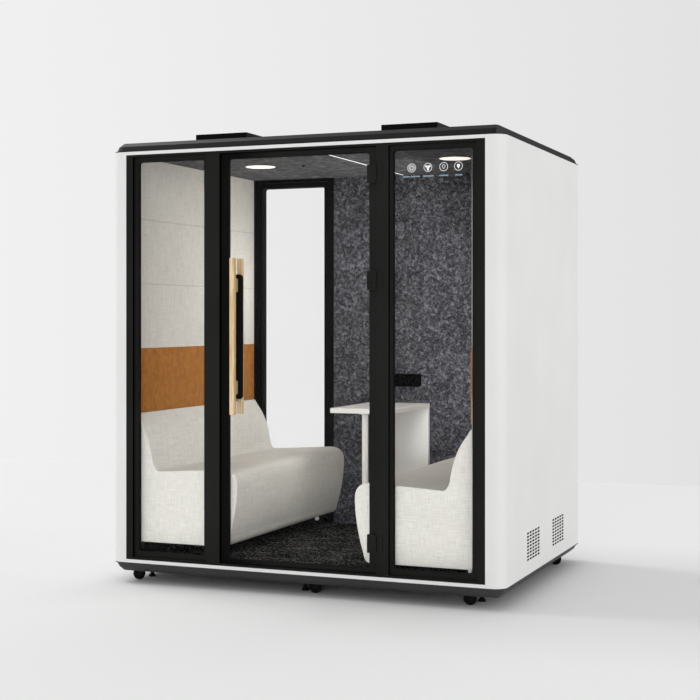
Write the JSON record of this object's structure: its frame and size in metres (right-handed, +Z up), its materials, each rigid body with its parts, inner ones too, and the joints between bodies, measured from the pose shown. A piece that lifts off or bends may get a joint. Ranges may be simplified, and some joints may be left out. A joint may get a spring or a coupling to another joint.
{
  "type": "acoustic office pod",
  "caption": "Glazed acoustic meeting pod on casters and levelling feet, with a hinged glass door, two facing benches, a wall table, lights and roof fans.",
  "frame": {"origin": "on the floor under the middle of the overall box, handle included", "axes": "+Z up, -Y towards the glazed front, +X to the right as seen from the front"},
  "size_m": [2.164, 1.6392, 2.384],
  "materials": {
    "shell_white": "painted sandwich panel, satin white",
    "frame_black": "matte black powder coat",
    "glazing": "clear laminated",
    "carpet": "charcoal cut pile",
    "felt": "charcoal acoustic felt",
    "greige_fabric": "plain weave",
    "tan_fabric": "plain weave",
    "linen": "slub linen upholstery",
    "oak": "clear oiled",
    "laminate": "white satin laminate",
    "diffuser": "opal",
    "plastic_black": "matte",
    "tyre_rubber": "matte"
  },
  "bodies": {
    "pod": {"left_wall": "shell_white", "right_wall": "shell_white", "rear_wall": "shell_white", "front_top_rail": "shell_white", "front_bottom_rail": "shell_white", "base_chassis": "frame_black", "roof_cap": "frame_black", "front_frame": "frame_black", "rear_window_frame": "frame_black", "fan_cowl_left": "frame_black", "fan_cowl_right": "frame_black", "hinge_upper_post_leaf": "frame_black", "hinge_middle_post_leaf": "frame_black", "hinge_lower_post_leaf": "frame_black", "left_glass": "glazing", "right_glass": "glazing", "rear_window_glass": "glazing", "floor_carpet": "carpet", "rear_lining": "felt", "ceiling_panel": "felt", "left_lining": "greige_fabric", "right_lining": "greige_fabric", "left_accent_band": "tan_fabric", "right_accent_band": "tan_fabric", "sofa_left": "linen", "sofa_right": "linen", "table_top": "laminate", "table_leg": "laminate", "downlight_left": "diffuser", "downlight_right": "diffuser", "power_socket": "plastic_black", "sofa_left_base": "plastic_black", "sofa_right_base": "plastic_black"},
    "door": {"door_frame": "frame_black", "door_glass": "glazing", "hinge_upper_door_leaf": "frame_black", "hinge_middle_door_leaf": "frame_black", "hinge_lower_door_leaf": "frame_black", "outer_handle": "oak", "inner_handle": "oak"},
    "fan_left": {"fan_rotor_left": "plastic_black"},
    "fan_right": {"fan_rotor_right": "plastic_black"},
    "caster_front_left": {"caster_front_left_fork": "plastic_black"},
    "wheel_front_left": {"caster_front_left_wheel": "tyre_rubber"},
    "foot_front_left": {"levelling_foot_front_left": "plastic_black"},
    "caster_front_middle": {"caster_front_middle_fork": "plastic_black"},
    "wheel_front_middle": {"caster_front_middle_wheel": "tyre_rubber"},
    "foot_front_middle": {"levelling_foot_front_middle": "plastic_black"},
    "caster_front_right": {"caster_front_right_fork": "plastic_black"},
    "wheel_front_right": {"caster_front_right_wheel": "tyre_rubber"},
    "foot_front_right": {"levelling_foot_front_right": "plastic_black"},
    "caster_rear_left": {"caster_rear_left_fork": "plastic_black"},
    "wheel_rear_left": {"caster_rear_left_wheel": "tyre_rubber"},
    "foot_rear_left": {"levelling_foot_rear_left": "plastic_black"},
    "caster_rear_middle": {"caster_rear_middle_fork": "plastic_black"},
    "wheel_rear_middle": {"caster_rear_middle_wheel": "tyre_rubber"},
    "foot_rear_middle": {"levelling_foot_rear_middle": "plastic_black"},
    "caster_rear_right": {"caster_rear_right_fork": "plastic_black"},
    "wheel_rear_right": {"caster_rear_right_wheel": "tyre_rubber"},
    "foot_rear_right": {"levelling_foot_rear_right": "plastic_black"}
  },
  "joints": [
    {"name": "door_hinge", "type": "hinge", "parent": "pod", "child": "door", "pos_m": [0.4285, -0.79135, 1.2], "axis": [0, 0, 1], "range_deg": [0, 100]},
    {"name": "fan_left_spin", "type": "hinge", "parent": "pod", "child": "fan_left", "pos_m": [-0.53, -0.51635, 2.316], "axis": [0, 0, 1], "continuous": true},
    {"name": "fan_right_spin", "type": "hinge", "parent": "pod", "child": "fan_right", "pos_m": [0.53, -0.51635, 2.316], "axis": [0, 0, 1], "continuous": true},
    {"name": "caster_front_left_swivel", "type": "hinge", "parent": "pod", "child": "caster_front_left", "pos_m": [-0.947, -0.64235, 0.08], "axis": [0, 0, 1], "continuous": true},
    {"name": "wheel_front_left_roll", "type": "hinge", "parent": "caster_front_left", "child": "wheel_front_left", "pos_m": [-0.97991, -0.66135, 0.0335], "axis": [0.5, -0.866, 0], "continuous": true},
    {"name": "foot_front_left_screw", "type": "slide", "parent": "pod", "child": "foot_front_left", "axis": [0, 0, 1], "range_m": [0, 0.014]},
    {"name": "caster_front_middle_swivel", "type": "hinge", "parent": "pod", "child": "caster_front_middle", "pos_m": [0.084, -0.64235, 0.08], "axis": [0, 0, 1], "continuous": true},
    {"name": "wheel_front_middle_roll", "type": "hinge", "parent": "caster_front_middle", "child": "wheel_front_middle", "pos_m": [0.04929, -0.65781, 0.0335], "axis": [0.4067, -0.9135, 0], "continuous": true},
    {"name": "foot_front_middle_screw", "type": "slide", "parent": "pod", "child": "foot_front_middle", "axis": [0, 0, 1], "range_m": [0, 0.014]},
    {"name": "caster_front_right_swivel", "type": "hinge", "parent": "pod", "child": "caster_front_right", "pos_m": [0.908, -0.64235, 0.08], "axis": [0, 0, 1], "continuous": true},
    {"name": "wheel_front_right_roll", "type": "hinge", "parent": "caster_front_right", "child": "wheel_front_right", "pos_m": [0.87509, -0.66135, 0.0335], "axis": [0.5, -0.866, 0], "continuous": true},
    {"name": "foot_front_right_screw", "type": "slide", "parent": "pod", "child": "foot_front_right", "axis": [0, 0, 1], "range_m": [0, 0.014]},
    {"name": "caster_rear_left_swivel", "type": "hinge", "parent": "pod", "child": "caster_rear_left", "pos_m": [-0.947, 0.61465, 0.08], "axis": [0, 0, 1], "continuous": true},
    {"name": "wheel_rear_left_roll", "type": "hinge", "parent": "caster_rear_left", "child": "wheel_rear_left", "pos_m": [-0.97991, 0.63365, 0.0335], "axis": [-0.5, -0.866, 0], "continuous": true},
    {"name": "foot_rear_left_screw", "type": "slide", "parent": "pod", "child": "foot_rear_left", "axis": [0, 0, 1], "range_m": [0, 0.014]},
    {"name": "caster_rear_middle_swivel", "type": "hinge", "parent": "pod", "child": "caster_rear_middle", "pos_m": [0, 0.61465, 0.08], "axis": [0, 0, 1], "continuous": true},
    {"name": "wheel_rear_middle_roll", "type": "hinge", "parent": "caster_rear_middle", "child": "wheel_rear_middle", "pos_m": [-0.03742, 0.60805, 0.0335], "axis": [0.1736, -0.9848, 0], "continuous": true},
    {"name": "foot_rear_middle_screw", "type": "slide", "parent": "pod", "child": "foot_rear_middle", "axis": [0, 0, 1], "range_m": [0, 0.014]},
    {"name": "caster_rear_right_swivel", "type": "hinge", "parent": "pod", "child": "caster_rear_right", "pos_m": [0.947, 0.61465, 0.08], "axis": [0, 0, 1], "continuous": true},
    {"name": "wheel_rear_right_roll", "type": "hinge", "parent": "caster_rear_right", "child": "wheel_rear_right", "pos_m": [0.98417, 0.62255, 0.0335], "axis": [-0.2079, 0.9781, 0], "continuous": true},
    {"name": "foot_rear_right_screw", "type": "slide", "parent": "pod", "child": "foot_rear_right", "axis": [0, 0, 1], "range_m": [0, 0.014]}
  ]
}
